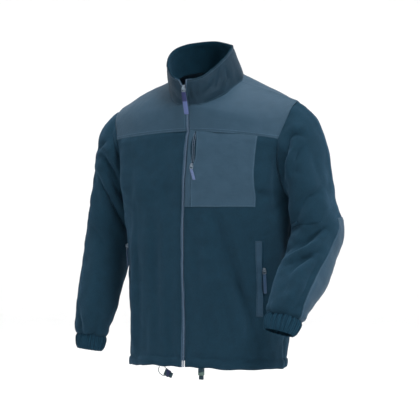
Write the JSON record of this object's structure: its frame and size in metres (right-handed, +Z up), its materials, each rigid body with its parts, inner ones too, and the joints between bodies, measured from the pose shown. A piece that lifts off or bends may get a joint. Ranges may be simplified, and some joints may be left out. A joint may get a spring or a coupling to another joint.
{
  "type": "zip jacket",
  "caption": "Long-sleeved zip-front fleece jacket with woven shoulder yoke, stand collar, chest pocket, side pockets and elbow patches, hollow as worn by nobody.",
  "frame": {"origin": "middle of the neck hole, level with the points where the collar meets the shoulder seams; the place that the wearer holds the jacket up by", "axes": "+X the wearer's left, -Y the front, +Z up"},
  "size_m": [0.709, 0.3209, 0.8329],
  "materials": {
    "fleece": "knitted fleece, matte, short pile",
    "woven": "plain woven nylon, matte with a faint sheen",
    "cuff": "soft knitted cuff binding, gathered",
    "collar_lining": "fleece, darker in the shade of the collar",
    "zip_tape": "woven zip tape",
    "pocket_zip": "woven zip tape with a coil",
    "cord": "braided elastic cord",
    "zip_chain": "moulded zip teeth",
    "slider": "die-cast, satin",
    "grip_blue": "moulded grip",
    "grip_pale": "moulded grip",
    "cord_lock": "moulded cord lock"
  },
  "bodies": {
    "jacket": {"front_right": "fleece", "front_left": "fleece", "back": "fleece", "yoke_front_right": "woven", "yoke_front_left": "woven", "yoke_back": "woven", "collar": "woven", "collar_inner": "collar_lining", "sleeve_right": "fleece", "elbow_patch_right": "woven", "cuff_right": "cuff", "sleeve_left": "fleece", "elbow_patch_left": "woven", "cuff_left": "cuff", "chest_pocket_strip": "woven", "chest_pocket": "woven", "chest_zip_tape": "pocket_zip", "welt_right": "woven", "side_zip_right": "pocket_zip", "welt_left": "woven", "side_zip_left": "pocket_zip", "zip_tape_right": "zip_tape", "zip_end_right": "zip_chain", "zip_tape_left": "zip_tape", "zip_end_left": "zip_chain", "zip_chain": "zip_chain", "main_slider": "slider", "chest_slider": "slider", "side_left_slider": "slider", "side_right_slider": "slider", "cord_lock_right": "cord_lock", "cord_button_right": "cord_lock", "cord_right": "cord", "cord_lock_left": "cord_lock", "cord_button_left": "cord_lock"},
    "main_tab": {"main_pull": "slider", "main_grip": "grip_blue"},
    "chest_tab": {"chest_pull": "slider", "chest_grip": "grip_pale"},
    "side_left_tab": {"side_left_pull": "slider", "side_left_grip": "grip_pale"},
    "side_right_tab": {"side_right_pull": "slider", "side_right_grip": "grip_pale"}
  },
  "joints": [
    {"name": "main_tab_swing", "type": "hinge", "parent": "jacket", "child": "main_tab", "pos_m": [-0.00003, -0.13356, -0.0308], "axis": [1, 0, 0], "range_deg": [-150, 8]},
    {"name": "chest_tab_swing", "type": "hinge", "parent": "jacket", "child": "chest_tab", "pos_m": [0.02211, -0.13362, -0.21724], "axis": [0.9999, 0.0146, -0.0019], "range_deg": [-150, 0]},
    {"name": "side_left_tab_swing", "type": "hinge", "parent": "jacket", "child": "side_left_tab", "pos_m": [0.19261, -0.08381, -0.46841], "axis": [0.6698, 0.7418, 0.0323], "range_deg": [-150, 0]},
    {"name": "side_right_tab_swing", "type": "hinge", "parent": "jacket", "child": "side_right_tab", "pos_m": [-0.19076, -0.08412, -0.41435], "axis": [0.6619, -0.7492, -0.0243], "range_deg": [-150, 0]}
  ]
}
